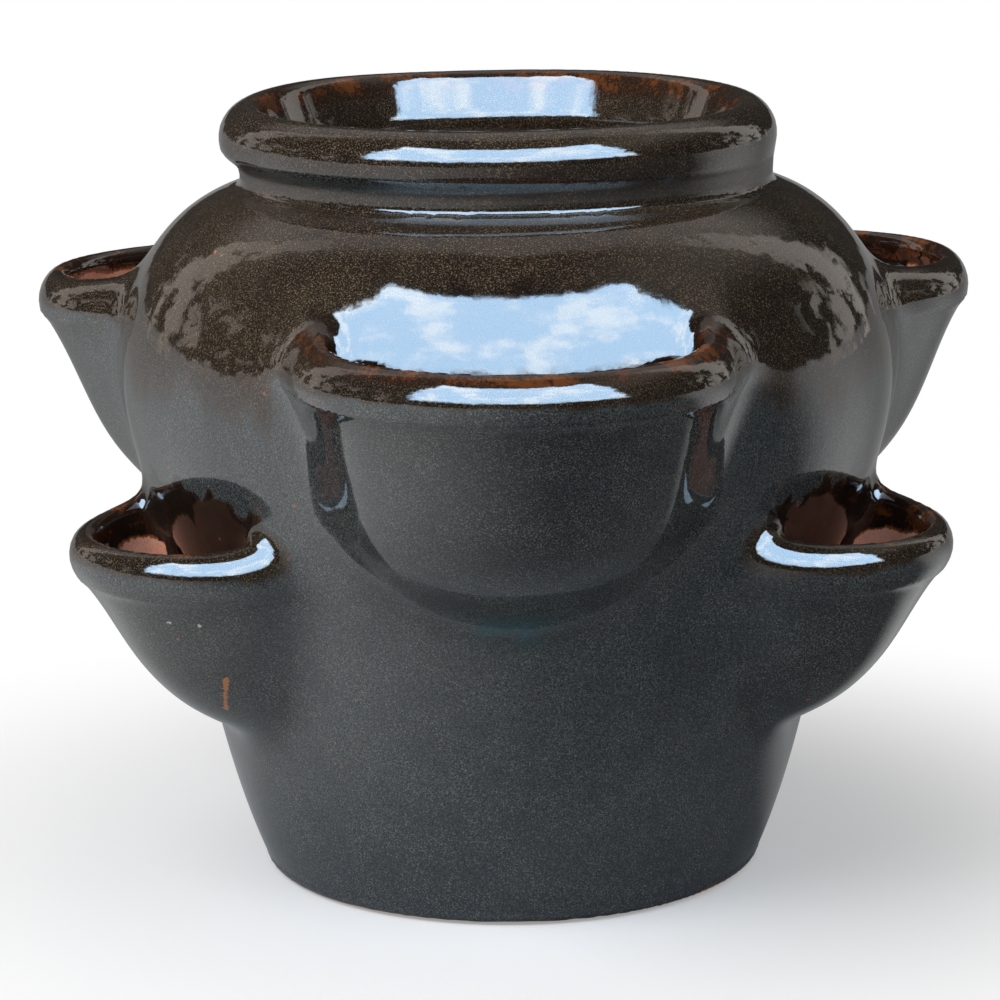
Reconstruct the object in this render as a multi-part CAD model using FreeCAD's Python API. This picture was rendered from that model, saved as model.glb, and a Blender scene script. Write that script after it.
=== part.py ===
"""Strawberry jar planter: a wide glazed jar with a rolled rim and six planting cups on its wall.

Millimetres. +Z is up and the jar's front faces -Y. The origin is the centre of the foot's
underside, on the jar's axis. Azimuths turn from -Y, 0 degrees, towards +X, 90 degrees.
The jar is made as a potter makes it: floor, thrown wall, neck ring and six cups, each luted
to the wall's outer face over a hole cut through the wall.
"""
import FreeCAD, Part
import math
import os

# Wall, as radius and height of the outer outline's stations, from the foot to the neck.
FOOT_R = 108.3
LOWER_R, LOWER_Z = 125.2, 50.0
WAIST_R, WAIST_Z = 137.0, 100.0
FLARE_R, FLARE_Z = 150.3, 150.0
BELLY_R, BELLY_Z = 166.5, 214.0
SHOULDER_R, SHOULDER_Z = 146.0, 278.0
NECK_R, NECK_Z = 117.0, 297.0
WALL = 10.0
FOOT_ROUND = 4.0

# Floor slab, set inside the foot, and its drain hole.
FLOOR = 12.0
DRAIN_R = 14.0

# Neck ring: a small collar on the shoulder, and the rolled rim bead above it.
NECK_INNER_R = 94.0
NECK_LAND = 3.0
COLLAR_R = 114.2
COLLAR_HEIGHT = 7.0
COLLAR_BULGE = 2.2
RIM_R = 105.9
RIM_HALF_WIDTH = 13.1
RIM_HALF_HEIGHT = 14.3
RIM_RISE = 23.5            # bead's centre above the neck's seat

# Cups: a rolled lip on a bowl of revolution about an upright axis near the wall.
CUP_WALL = 9.0
LIP_HALF_WIDTH = 6.2       # across the lip's leaning oval
LIP_HALF_HEIGHT = 10.0     # along it
LIP_LEAN_ANGLE = 22.0      # the oval's top leans in over the cup, so its outer face looks up
LIP_INSET = 6.0            # oval's centre inside the lip's stated radius
LIP_DROP = 2.5             # and below its stated height
UNDER_LIP_ANGLE = -76.0    # where on the oval the bowl's outer face leaves it
INNER_LIP_ANGLE = 170.0    # and where the bowl's inner face leaves it
HOLE_CORNER_R = 10.0

UPPER_CUP = dict(
    turn_angles=dict(front=0.0, left=-120.0, right=120.0),
    lip_z=246.4,
    lip_r=88.4,
    inset=22.5,            # cup's axis inside the wall's outer face, at the lip
    depth=118.0,
    lean_in=26.2,          # how far the bowl's axis runs in towards the jar over its depth
    shoulder_r=81.0,       # bowl's outer radius at 0.30 of its depth
    keel_r=70.3,           # and at 0.60
    toe_r=45.5,            # and at 0.84
    hole_half_width=60.0,
    hole_depth=78.0,
    hole_drop=3.0,         # ends of the hole's upper edge below the lip's widest circle
    hole_sag=11.0)         # and how far that edge sags at its middle
LOWER_CUP = dict(
    turn_angles=dict(left=-60.0, right=60.0, back=180.0),
    lip_z=156.0,
    lip_r=62.5,
    inset=11.5,
    depth=81.0,
    lean_in=18.0,
    shoulder_r=54.8,
    keel_r=45.4,
    toe_r=31.5,
    hole_half_width=40.0,
    hole_depth=50.0,
    hole_drop=2.0,
    hole_sag=11.0)
BOWL_STATIONS = (0.30, 0.60, 0.84)

NEAR = 0.01                # heights and widths this close are the same
AXIS_START = FreeCAD.Vector(0, 0, 0)
UP = FreeCAD.Vector(0, 0, 1)


def at(radius, height):
    """A point of a profile in the XZ plane."""
    return FreeCAD.Vector(radius, 0, height)


def smooth(points):
    """A smooth curve through profile points."""
    curve = Part.BSplineCurve()
    curve.interpolate(points)
    return curve


def line(start, end):
    return Part.LineSegment(start, end).toShape()


def oval_point(centre, half_width, half_height, angle, lean_angle=0.0):
    """A point of an ellipse in the XZ plane, whose top leans towards the axis by lean_angle."""
    across = half_width * math.cos(math.radians(angle))
    along = half_height * math.sin(math.radians(angle))
    lean = math.radians(lean_angle)
    return centre + at(across * math.cos(lean) - along * math.sin(lean),
                       across * math.sin(lean) + along * math.cos(lean))


def oval(centre, half_width, half_height, lean_angle=0.0):
    """That ellipse, whichever way it is longer."""
    side = oval_point(centre, half_width, half_height, 0, lean_angle)
    top = oval_point(centre, half_width, half_height, 90, lean_angle)
    if half_width >= half_height:
        return Part.Ellipse(side, top, centre)
    return Part.Ellipse(top, side, centre)


def stretch_between(start, end, outline, pick):
    """The stretch of a closed outline between two of its points: the upper with max, the lower with min."""
    first, last = sorted(outline.parameter(point) for point in (start, end))
    both_ways = [outline.toShape(first, last), outline.toShape(last, first + 2 * math.pi)]
    return pick(both_ways, key=lambda stretch: stretch.CenterOfMass.z)


def spin(edges):
    """A solid of revolution of a closed profile about the Z axis."""
    face = Part.Face(Part.Wire(Part.__sortEdges__(edges)))
    return face.revolve(AXIS_START, UP, 360)


def wall_outline():
    """The wall's outer outline, from the ground to the neck's seat."""
    return smooth([at(FOOT_R, 0), at(LOWER_R, LOWER_Z), at(WAIST_R, WAIST_Z), at(FLARE_R, FLARE_Z),
                   at(BELLY_R, BELLY_Z), at(SHOULDER_R, SHOULDER_Z), at(NECK_R, NECK_Z)])


def wall_radius(height):
    """The wall's outer radius at a height."""
    level = Part.LineSegment(at(0, height), at(2 * BELLY_R, height))
    return wall_outline().intersectCC(level)[0].X


def inside(curve, height):
    """The point of the wall's inner face opposite the outline's point at a height."""
    point = at(wall_radius(height), height)
    tangent = curve.tangent(curve.parameter(point))[0]
    return point + FreeCAD.Vector(-tangent.z, 0, tangent.x) * WALL


def jar_envelope():
    """The jar's outer form as a full solid, which the cups are seated against."""
    top = at(0, NECK_Z)
    return spin([wall_outline().toShape(), line(at(NECK_R, NECK_Z), top), line(top, at(0, 0)),
                 line(at(0, 0), at(FOOT_R, 0))])


def foot_edge(solid):
    """The sharp circle where the wall's outer face meets the ground."""
    return [edge for edge in solid.Edges
            if abs(edge.BoundBox.ZMax) < NEAR and abs(edge.BoundBox.XMax - FOOT_R) < NEAR]


def make_wall():
    floor_r = FOOT_R - WALL
    curve = wall_outline()
    inner = smooth([at(floor_r, FLOOR)]
                   + [inside(curve, z) for z in (LOWER_Z, WAIST_Z, FLARE_Z, BELLY_Z, SHOULDER_Z)]
                   + [at(NECK_INNER_R, NECK_Z - NECK_LAND)])
    wall = spin([curve.toShape(), line(at(NECK_R, NECK_Z), at(NECK_INNER_R, NECK_Z)),
                 line(at(NECK_INNER_R, NECK_Z), at(NECK_INNER_R, NECK_Z - NECK_LAND)), inner.toShape(),
                 line(at(floor_r, FLOOR), at(floor_r, 0)), line(at(floor_r, 0), at(FOOT_R, 0))])
    wall = wall.makeFillet(FOOT_ROUND, foot_edge(wall))
    for cup in (UPPER_CUP, LOWER_CUP):
        for azimuth in cup["turn_angles"].values():
            wall = wall.cut(turned(hole_tool(cup), azimuth))
    return wall


def make_floor():
    slab = Part.makeCylinder(FOOT_R - WALL, FLOOR)
    return slab.cut(Part.makeCylinder(DRAIN_R, FLOOR))


def make_neck():
    """The collar with its soft bulge, fused with the oval rim bead."""
    rim_centre = at(RIM_R, NECK_Z + RIM_RISE)
    collar_foot = at(COLLAR_R - COLLAR_BULGE, NECK_Z)
    collar_top = at(COLLAR_R - COLLAR_BULGE, NECK_Z + COLLAR_HEIGHT)
    outer_top = at(COLLAR_R - COLLAR_BULGE, NECK_Z + RIM_RISE - RIM_HALF_HEIGHT / 2)
    inner_top = at(NECK_INNER_R, NECK_Z + RIM_RISE - RIM_HALF_HEIGHT / 2)
    inner_foot = at(NECK_INNER_R, NECK_Z)
    bulge = Part.Arc(collar_foot, at(COLLAR_R, NECK_Z + COLLAR_HEIGHT / 2), collar_top)
    collar = spin([bulge.toShape(), line(collar_top, outer_top), line(outer_top, inner_top),
                   line(inner_top, inner_foot), line(inner_foot, collar_foot)])
    bead = spin([oval(rim_centre, RIM_HALF_WIDTH, RIM_HALF_HEIGHT).toShape()])
    return collar.fuse(bead).removeSplitter()


def cup_axis_r(cup):
    return wall_radius(cup["lip_z"]) - cup["inset"]


def make_cup(cup, envelope):
    """One cup at azimuth 0, its bowl and rolled lip cut off where they meet the wall."""
    centre = at(cup["lip_r"] - LIP_INSET, cup["lip_z"] - LIP_DROP)
    under, inner = [oval_point(centre, LIP_HALF_WIDTH, LIP_HALF_HEIGHT, angle, LIP_LEAN_ANGLE)
                    for angle in (UNDER_LIP_ANGLE, INNER_LIP_ANGLE)]
    leaning = oval(centre, LIP_HALF_WIDTH, LIP_HALF_HEIGHT, LIP_LEAN_ANGLE)
    lip = stretch_between(under, inner, leaning, max)
    stations = list(zip(BOWL_STATIONS, (cup["shoulder_r"], cup["keel_r"], cup["toe_r"])))
    outer_points = [at(r, cup["lip_z"] - share * cup["depth"]) for share, r in stations]
    inner_points = [at(r - CUP_WALL, cup["lip_z"] - share * (cup["depth"] - CUP_WALL)) for share, r in stations]
    toe = at(0, cup["lip_z"] - cup["depth"])
    well = toe + at(0, CUP_WALL)
    outer = smooth([under] + outer_points + [toe])
    bowl = smooth([inner] + inner_points + [well])
    solid = spin([lip, bowl.toShape(), line(well, toe), outer.toShape()])
    solid.rotate(AXIS_START, UP, 90)
    slope = cup["lean_in"] / cup["depth"]
    lean = FreeCAD.Matrix(1, 0, 0, 0,
                          0, 1, -slope, slope * cup["lip_z"] - cup_axis_r(cup),
                          0, 0, 1, 0)
    return solid.transformGeometry(lean).cut(envelope)


def hole_tool(cup):
    """The cutter for the hole behind a cup at azimuth 0: a sagging upper edge over half an oval."""
    half = cup["hole_half_width"]
    top = FreeCAD.Vector(0, -WALL, cup["lip_z"] - cup["hole_drop"])
    ends = [top - at(half, 0), top + at(half, 0)]
    lower = stretch_between(ends[0], ends[1], oval(top, half, cup["hole_depth"]), min)
    edge = Part.Arc(ends[0], top - at(0, cup["hole_sag"]), ends[1]).toShape()
    face = Part.Face(Part.Wire(Part.__sortEdges__([edge, lower])))
    block = face.extrude(FreeCAD.Vector(0, -2 * BELLY_R, 0))
    corners = [edge for edge in block.Edges
               if edge.BoundBox.YLength > BELLY_R and abs(edge.BoundBox.ZMin - top.z) < NEAR]
    return block.makeFillet(HOLE_CORNER_R, corners)


def turned(shape, azimuth):
    copy = shape.copy()
    copy.rotate(AXIS_START, UP, azimuth)
    return copy


def main():
    os.makedirs("parts", exist_ok=True)
    envelope = jar_envelope()
    pieces = dict(jar_wall=make_wall(), floor_slab=make_floor(), neck_rim=make_neck())
    for level, cup in (("upper", UPPER_CUP), ("lower", LOWER_CUP)):
        shape = make_cup(cup, envelope)
        for side, azimuth in cup["turn_angles"].items():
            pieces[f"{level}_pocket_{side}"] = turned(shape, azimuth)
    for name, shape in pieces.items():
        solid = shape.Solids[0] if len(shape.Solids) == 1 else shape
        print(name, "solids", len(shape.Solids), "valid", shape.isValid(), "cm3", round(shape.Volume / 1000, 1))
        solid.exportStep(f"parts/{name}.step")


main()
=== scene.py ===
"""Looks of the strawberry jar planter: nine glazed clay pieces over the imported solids.

The jar's surface is worked out as a distance field in millimetres (thrown wall, neck and rim,
leaning cups, holes, soft lutes), meshed, laid exactly on that field, and parted at the joints.
"""
import math

import bmesh
import bpy
import numpy as np
from mathutils import Matrix, Vector


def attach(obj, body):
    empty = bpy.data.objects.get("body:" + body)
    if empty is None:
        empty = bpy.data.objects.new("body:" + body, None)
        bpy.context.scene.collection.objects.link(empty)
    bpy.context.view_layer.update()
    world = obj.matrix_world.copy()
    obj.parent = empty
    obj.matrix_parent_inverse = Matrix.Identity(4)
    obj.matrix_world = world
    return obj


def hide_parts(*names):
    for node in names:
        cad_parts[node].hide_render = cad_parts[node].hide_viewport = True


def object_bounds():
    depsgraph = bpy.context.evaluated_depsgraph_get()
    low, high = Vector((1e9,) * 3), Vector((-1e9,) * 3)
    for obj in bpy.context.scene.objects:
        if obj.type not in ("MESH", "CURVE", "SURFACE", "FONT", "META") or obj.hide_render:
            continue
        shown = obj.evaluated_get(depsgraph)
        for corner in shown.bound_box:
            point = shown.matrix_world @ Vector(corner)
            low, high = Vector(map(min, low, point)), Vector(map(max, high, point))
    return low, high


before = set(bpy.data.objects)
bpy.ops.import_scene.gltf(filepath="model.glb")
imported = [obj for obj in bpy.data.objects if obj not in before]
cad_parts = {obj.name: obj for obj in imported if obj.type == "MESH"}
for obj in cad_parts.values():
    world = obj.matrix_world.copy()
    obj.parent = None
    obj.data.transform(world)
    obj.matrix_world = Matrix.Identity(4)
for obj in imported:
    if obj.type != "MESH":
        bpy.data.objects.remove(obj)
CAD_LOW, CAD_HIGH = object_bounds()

MM = 0.001

# ---------------------------------------------------------------- camera, in millimetres and degrees
CAM_DISTANCE, CAM_ELEVATION, CAM_ROLL = 1500.0, 12.53, -0.59
CAM_TARGET = (-3.87, 0.0, 156.9)
CAM_TURN = -0.9                      # the photograph sees the jar turned by this much
CAM_FOCAL_PX, PHOTO_WIDTH_PX = 3426.8, 1000
SENSOR_WIDTH = 36.0


def make_camera():
    e, roll, turn = math.radians(CAM_ELEVATION), math.radians(CAM_ROLL), math.radians(CAM_TURN)
    back = np.array([0, -math.cos(e), math.sin(e)])
    place = np.array(CAM_TARGET) + back * CAM_DISTANCE
    right = np.array([1.0, 0, 0])
    up = np.cross(right, -back)
    x_axis = math.cos(roll) * right + math.sin(roll) * up
    y_axis = -math.sin(roll) * right + math.cos(roll) * up
    pose = Matrix([list(a) for a in np.array([x_axis, y_axis, back]).T]).to_4x4()
    pose.translation = Vector(place * MM)
    camera_data = bpy.data.cameras.new("camera")
    camera_data.sensor_width = SENSOR_WIDTH
    camera_data.lens = CAM_FOCAL_PX / PHOTO_WIDTH_PX * SENSOR_WIDTH
    camera_data.clip_start, camera_data.clip_end = 0.05, 100
    camera = bpy.data.objects.new("camera", camera_data)
    bpy.context.scene.collection.objects.link(camera)
    camera.matrix_world = Matrix.Rotation(turn, 4, "Z") @ pose
    bpy.context.scene.camera = camera


make_camera()

# ---------------------------------------------------------------- the jar's form, in millimetres
# the wall's outer outline from the foot to the neck, as radius and height
WALL_POINTS = [(108.3, 0), (125.2, 50), (137.0, 100), (150.3, 150), (166.5, 214), (146.0, 278),
               (117.0, 297)]
WALL = 10.0
FOOT_INNER_R = WALL_POINTS[0][0] - WALL
FOOT_ROUND = 4.0
FLOOR = 12.0
FLOOR_GROOVE = 1.1                   # radius of the joint line between floor and wall, underneath
DRAIN_R, DRAIN_EDGE = 14.0, 3.0      # the drain hole, and how soft its edge is
PAST_AXIS = -60.0                    # closed outlines run on past the axis to here

# the neck: a ring that leans a little, its middle radius at NECK_LEAN_Z, and its half thickness
NECK_Z, NECK_INNER_R = 297.0, 94.0
NECK_MIDDLE_R, NECK_HALF_WIDTH = 103.2, 10.6
NECK_LEAN, NECK_LEAN_Z = 0.03, 306
NECK_MIDDLE_Z, NECK_HALF_HEIGHT = 304.0, 16.0
RIM_R, RIM_Z = 105.9, 320.5
RIM_HALF_WIDTH, RIM_HALF_HEIGHT = 13.1, 14.3
# the rim's flared inner face, as a cone that cuts it; the last value is about the cosine of its lean
FLARE_R, FLARE_Z, FLARE_SLOPE, FLARE_COSINE = 93.6, 315, 0.42, 0.92
# softness of the joints: neck to shoulder, lining to shell, bead to neck, flare to rim
NECK_JOIN, LINING_JOIN, BEAD_JOIN, FLARE_JOIN = 4.5, 6.0, 9.0, 4.0

CUP_WALL = 9.0
LEAN = 0.222
BOWL_SHARES = (0.30, 0.60, 0.84)     # shares of a cup's depth at which its radii are given
# a lip's oval: half width, half height, lean in degrees, inset and drop of its centre
UPPER = dict(lip_z=246.4, lip_r=88.4, inset=22.5, depth=118.0, radii=(81.0, 70.3, 45.5),
             lip=(5.5, 11.0, 34.0, 6.4, 3.2),
             hole_half=60.0, hole_depth=78.0, hole_drop=3.0, hole_sag=11.0)
LOWER = dict(lip_z=156.0, lip_r=62.5, inset=11.5, depth=81.0, radii=(54.8, 45.4, 31.5),
             lip=(6.2, 10.0, 20.0, 6.0, 2.5),
             hole_half=40.0, hole_depth=50.0, hole_drop=2.0, hole_sag=11.0)
# name, form, azimuth, and how far its lip's outer end is lifted
CUPS = [("upper_pocket_front", UPPER, 0.0, 0.0), ("upper_pocket_left", UPPER, -120.0, -1.6),
        ("upper_pocket_right", UPPER, 120.0, 2.4), ("lower_pocket_left", LOWER, -60.0, 0.0),
        ("lower_pocket_right", LOWER, 60.0, 0.0), ("lower_pocket_back", LOWER, 180.0, 0.4)]
LUTE = 22.0                          # softness of the joint between a cup and the wall
LIP_JOIN = 4.0                       # softness of the joint between a lip and its bowl
LIP_POINTS = 90                      # points round a lip's oval
UNDER_POINT, INNER_POINT = -19, 42   # the ones where the bowl's outer and inner face leave it
LIP_SWEEP = 3.5                      # how far a lip rises where it runs into the wall
SWEEP_SPREAD = 500                   # and how fast that dies away from the wall, in square mm
HOLE_EDGE, HOLE_CORNER = 5.0, 9.0    # roundness of a hole's edge, and of its corners
HOLE_REACH, HOLE_END = 14.0, 4.0     # how far out of the wall's face it cuts, and its softness there
BOWL_KEPT = 3.0                      # how far it stays clear of the cup's own wall
OFF_AXIS = 20.0                      # and from the jar's axis, so that it cuts one side only
RIM_SHIFT, RIM_TILT = 3.4, 4.3       # the rim sits off to one side, and tilts towards the front


def spline(points, count=1500):
    """A smooth curve through points, by chord length, with not-a-knot ends."""
    p = np.array(points, float)
    t = np.r_[0, np.cumsum(np.hypot(*np.diff(p, axis=0).T))]
    n, h = len(t), np.diff(t)
    a, b = np.zeros((n, n)), np.zeros((n, 2))
    for i in range(1, n - 1):
        a[i, i - 1:i + 2] = h[i - 1], 2 * (h[i - 1] + h[i]), h[i]
        b[i] = 6 * ((p[i + 1] - p[i]) / h[i] - (p[i] - p[i - 1]) / h[i - 1])
    a[0, :3] = h[1], -(h[0] + h[1]), h[0]
    a[-1, -3:] = h[-1], -(h[-2] + h[-1]), h[-2]
    m = np.linalg.solve(a, b)
    s = np.linspace(0, t[-1], count)
    k = np.clip(np.searchsorted(t, s, side="right") - 1, 0, n - 2)
    u, v, w = (s - t[k])[:, None], (t[k + 1] - s)[:, None], h[k][:, None]
    curved = (m[k] * v ** 3 + m[k + 1] * u ** 3) / (6 * w)
    return curved + (p[k] / w - m[k] * w / 6) * v + (p[k + 1] / w - m[k + 1] * w / 6) * u


def smin(a, b, k):
    h = np.maximum(k - np.abs(a - b), 0) / k
    return np.minimum(a, b) - h * h * h * k / 6


def smax(a, b, k):
    return -smin(-a, -b, k)


def ramp(x, low, high):
    t = np.clip((x - low) / (high - low), 0, 1)
    return t * t * t * (t * (6 * t - 15) + 10)


def arc(centre, radius, start, end, count):
    a = np.radians(np.linspace(start, end, count))
    return np.stack([centre[0] + radius * np.cos(a), centre[1] + radius * np.sin(a)], -1)


def polygon_distance(corners, r, z):
    """Signed distance to a closed polygon on the grid of r by z, negative inside."""
    a = np.concatenate([np.linspace(p, q, max(1, int(np.hypot(*(q - p)) / 0.6)), endpoint=False)
                        for p, q in zip(corners, np.roll(corners, -1, axis=0))])
    b = np.roll(a, -1, axis=0)
    inside = np.zeros((len(r), len(z)), bool)
    for j, height in enumerate(z):
        cross = (a[:, 1] > height) != (b[:, 1] > height)
        p, q = a[cross], b[cross]
        x = p[:, 0] + (height - p[:, 1]) * (q[:, 0] - p[:, 0]) / (q[:, 1] - p[:, 1])
        inside[:, j] = (np.searchsorted(np.sort(x), r) % 2) == 1
    flat = np.stack([v.ravel() for v in np.meshgrid(r, z, indexing="ij")], -1)
    rough = a[::8]
    near = np.concatenate([((part[:, None] - rough[None]) ** 2).sum(2).argmin(1) * 8
                           for part in np.array_split(flat, len(flat) // 20000 + 1)])
    best = np.full(len(flat), 1e9)
    for k in range(-12, 12):
        i = (near + k) % len(a)
        edge, w = b[i] - a[i], flat - a[i]
        t = np.clip((w * edge).sum(1) / np.maximum((edge ** 2).sum(1), 1e-12), 0, 1)
        best = np.minimum(best, ((w - t[:, None] * edge) ** 2).sum(1))
    out = np.sqrt(best).reshape(len(r), len(z))
    return np.where(inside, -out, out)


# ---------------------------------------------------------------- profile tables
STEP = 0.75


class Table:
    """A smooth lookup of values held on a regular grid of radius by height."""

    def __init__(self, values, low):
        self.values, self.low = np.ascontiguousarray(values), low
        self.top = np.array(values.shape) - 3

    def __call__(self, r, z):
        u = (r - self.low[0]) / STEP
        v = (z - self.low[1]) / STEP
        i = np.clip(np.floor(u).astype(int), 1, self.top[0])
        j = np.clip(np.floor(v).astype(int), 1, self.top[1])
        fu, fv = np.clip(u - i, -3, 4), np.clip(v - j, -3, 4)
        wu, wv = self.weights(fu), self.weights(fv)
        flat, width = self.values.ravel(), self.values.shape[1]
        start = (i - 1) * width + (j - 1)
        total = np.zeros(np.shape(r))
        for a in range(4):
            row = start + a * width
            total += wu[a] * (wv[0] * flat[row] + wv[1] * flat[row + 1]
                              + wv[2] * flat[row + 2] + wv[3] * flat[row + 3])
        return total

    @staticmethod
    def weights(t):
        """Catmull-Rom weights inside a cell, running on straight outside it."""
        c = np.clip(t, 0, 1)
        over = t - c
        w = [((-0.5 * c + 1) * c - 0.5) * c, (1.5 * c - 2.5) * c * c + 1,
             ((-1.5 * c + 2) * c + 0.5) * c, (0.5 * c - 0.5) * c * c]
        slope = [-0.5 * (c < 0.5), -0.5 * (c >= 0.5), 0.5 * (c < 0.5), 0.5 * (c >= 0.5)]
        return [a + over * s for a, s in zip(w, slope)]


def grid(r_low, r_high, z_low, z_high):
    return np.arange(r_low, r_high, STEP), np.arange(z_low, z_high, STEP)


def lining_curve(wall):
    """The wall's inner face, from the floor up to the neck, an even wall inside its outer face."""
    tangent = np.gradient(wall, axis=0)
    tangent /= np.hypot(*tangent.T)[:, None]
    inner = wall + WALL * np.stack([-tangent[:, 1], tangent[:, 0]], -1)
    level = (inner[:, 1] > FLOOR + 12) & (inner[:, 1] < NECK_Z - 5)
    base = inner[level & (inner[:, 0] > NECK_INNER_R - 6)]
    stations = [tuple(base[int(k)]) for k in np.linspace(40, len(base) - 60, 8)]
    ends = [(FOOT_INNER_R, FLOOR), tuple(base[0])], [(NECK_INNER_R, NECK_Z - 4)]
    return spline(ends[0] + stations + ends[1], 700)


def jar_tables():
    """The shell of floor, wall, neck and rim, and the full form that the cups sit on."""
    r, z = grid(-9, 200, -15, 360)
    wall = spline(WALL_POINTS, 900)
    above = wall[wall[:, 1] > FOOT_ROUND]
    foot = arc((above[0, 0] - FOOT_ROUND, FOOT_ROUND), FOOT_ROUND, -90, -12, 14)
    outer = np.r_[[(PAST_AXIS, 0)], foot, above, [(NECK_INNER_R, NECK_Z), (PAST_AXIS, NECK_Z)]]
    form = polygon_distance(outer, r, z)
    mouth = [(NECK_INNER_R, 330), (NECK_INNER_R, 420), (PAST_AXIS, 420)]
    hollow = polygon_distance(np.r_[[(PAST_AXIS, FLOOR)], lining_curve(wall), mouth], r, z)
    gr, gz = np.meshgrid(r, z, indexing="ij")
    off_middle = np.abs(gr - NECK_MIDDLE_R - NECK_LEAN * (NECK_LEAN_Z - gz))
    neck = np.maximum(off_middle - NECK_HALF_WIDTH, np.abs(gz - NECK_MIDDLE_Z) - NECK_HALF_HEIGHT)
    bead = (np.hypot((gr - RIM_R) / RIM_HALF_WIDTH, (gz - RIM_Z) / RIM_HALF_HEIGHT) - 1) * RIM_HALF_HEIGHT
    shell = smin(form, neck, NECK_JOIN)
    shell = smax(shell, -hollow, LINING_JOIN)
    shell = smin(shell, bead, BEAD_JOIN)
    shell = smax(shell, (FLARE_R + FLARE_SLOPE * (gz - FLARE_Z) - gr) * FLARE_COSINE, FLARE_JOIN)
    shell = smax(shell, DRAIN_R - gr, DRAIN_EDGE)
    shell = smax(shell, FLOOR_GROOVE - np.hypot(gr - FOOT_INNER_R, gz), 1.5)
    return Table(shell, (r[0], z[0])), Table(form, (r[0], z[0]))


def cup_table(cup):
    """The closed section of a cup: a bowl of even thickness with a rolled lip."""
    lip_z, depth = cup["lip_z"], cup["depth"]
    r, z = grid(-9, 110, lip_z - depth - 20, lip_z + 30)
    half_width, half_height, lean, inset, drop = cup["lip"]
    lean = math.radians(lean)
    round_step = 360 // LIP_POINTS
    oval = arc((0, 0), 1.0, 0, 360 - round_step, LIP_POINTS)
    across, along = (oval * (half_width, half_height)).T
    bead = np.stack([cup["lip_r"] - inset + across * math.cos(lean) - along * math.sin(lean),
                     lip_z - drop + across * math.sin(lean) + along * math.cos(lean)], -1)
    toe = lip_z - depth
    outside, inside = [tuple(bead[UNDER_POINT])], [tuple(bead[INNER_POINT])]
    for share, radius in zip(BOWL_SHARES, cup["radii"]):
        outside.append((radius, lip_z - share * depth))
        inside.append((radius - CUP_WALL, lip_z - share * (depth - CUP_WALL)))
    out_curve = spline(outside + [(0, toe)], 400)
    in_curve = spline(inside + [(0, toe + CUP_WALL)], 400)
    mirrored = [c * (-1, 1) for c in (out_curve, in_curve)]
    ring = np.r_[out_curve, mirrored[0][::-1], mirrored[1], in_curve[::-1]]
    bowl, lip = polygon_distance(ring, r, z), polygon_distance(bead, r, z)
    return Table(smin(bowl, lip, LIP_JOIN), (r[0], z[0]))


SHELL, FORM = jar_tables()
for cup in (UPPER, LOWER):
    cup["table"] = cup_table(cup)
    cup["axis"] = float(np.interp(cup["lip_z"], *spline(WALL_POINTS).T[::-1])) - cup["inset"]


# ---------------------------------------------------------------- the field
def waver(p):
    """The slight unevenness of hand work: a smooth shift of under half a millimetre."""
    x, y, z = p.T
    return np.stack([0.30 * np.sin(x / 31 + z / 47 + 1.3) * np.cos(y / 37 - 0.4),
                     0.30 * np.sin(y / 29 - z / 41 + 4.1) * np.cos(x / 43 + 1.9),
                     0.28 * np.sin(x / 27 - 0.7) * np.cos(y / 33 + z / 90 + 2.2)], -1)


def settle(p):
    """Where a point of the finished jar lies on the true-turned one: the rim sits a little off and tilted."""
    q = p + waver(p)
    x, y, z = q.T
    high = ramp(z, 303, 315)
    front = ramp(-y, -110, 110)
    return np.stack([x + RIM_SHIFT * high, y, z + high * RIM_TILT * front], -1)


def turned_place(p):
    """A point's radius and height on the true-turned jar, its place there, and the form's distance."""
    q = settle(p)
    r, z = np.hypot(q[:, 0], q[:, 1]), q[:, 2]
    return r, z, q, FORM(r, z)


def cup_frame(p, azimuth):
    """Sideways and outward distance from the jar's axis, seen along a cup's azimuth."""
    a = math.radians(azimuth)
    side = p[:, 0] * math.cos(a) + p[:, 1] * math.sin(a)
    out = p[:, 0] * math.sin(a) - p[:, 1] * math.cos(a)
    return side, out


def cup_ring(cup, side, out, z):
    """Distance from a cup's leaning axis."""
    return np.hypot(side, out - cup["axis"] + LEAN * (cup["lip_z"] - z))


def bowl_middle(cup, depth):
    """Radius of the middle of a cup's wall at a depth under its lip."""
    shares = (0,) + BOWL_SHARES + (1,)
    middle = tuple(radius - CUP_WALL / 2 for radius in cup["radii"])
    return np.interp(depth / cup["depth"], shares, (cup["lip_r"] - cup["lip"][3],) + middle + (0,))


def cup_distance(p, form, cup, azimuth, lift):
    side, out = cup_frame(p, azimuth)
    raised = ramp(p[:, 2], cup["lip_z"] - 60, cup["lip_z"] - 10)
    z = p[:, 2] - lift * (out - cup["axis"]) / cup["lip_r"] * raised
    near = np.exp(-np.maximum(form, 0) ** 2 / SWEEP_SPREAD)
    z = z - LIP_SWEEP * near * ramp(z, cup["lip_z"] - 35, cup["lip_z"] - 3)
    centre = cup["axis"] - LEAN * (cup["lip_z"] - z)
    d = cup["table"](np.hypot(side, out - centre), z)
    return smax(d, -form - 5.0, 1.0), side, out


def hole_distance(z, side, cup):
    """Inside the hole behind a cup: half an oval under a sagging upper edge, rounded at its ends."""
    half, sag = cup["hole_half"], cup["hole_sag"]
    top = cup["lip_z"] - cup["hole_drop"]
    radius = (half ** 2 + sag ** 2) / (2 * sag)
    over = radius - np.hypot(side, z - (top - sag + radius))
    u, v = side / half, (z - top) / cup["hole_depth"]
    length = np.hypot(u, v)
    slope = np.hypot(u / half, v / cup["hole_depth"]) / np.maximum(length, 0.2)
    oval = np.maximum((length - 1) / np.maximum(slope, 1e-4), -40)
    return smax(over, oval, HOLE_CORNER)


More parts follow.
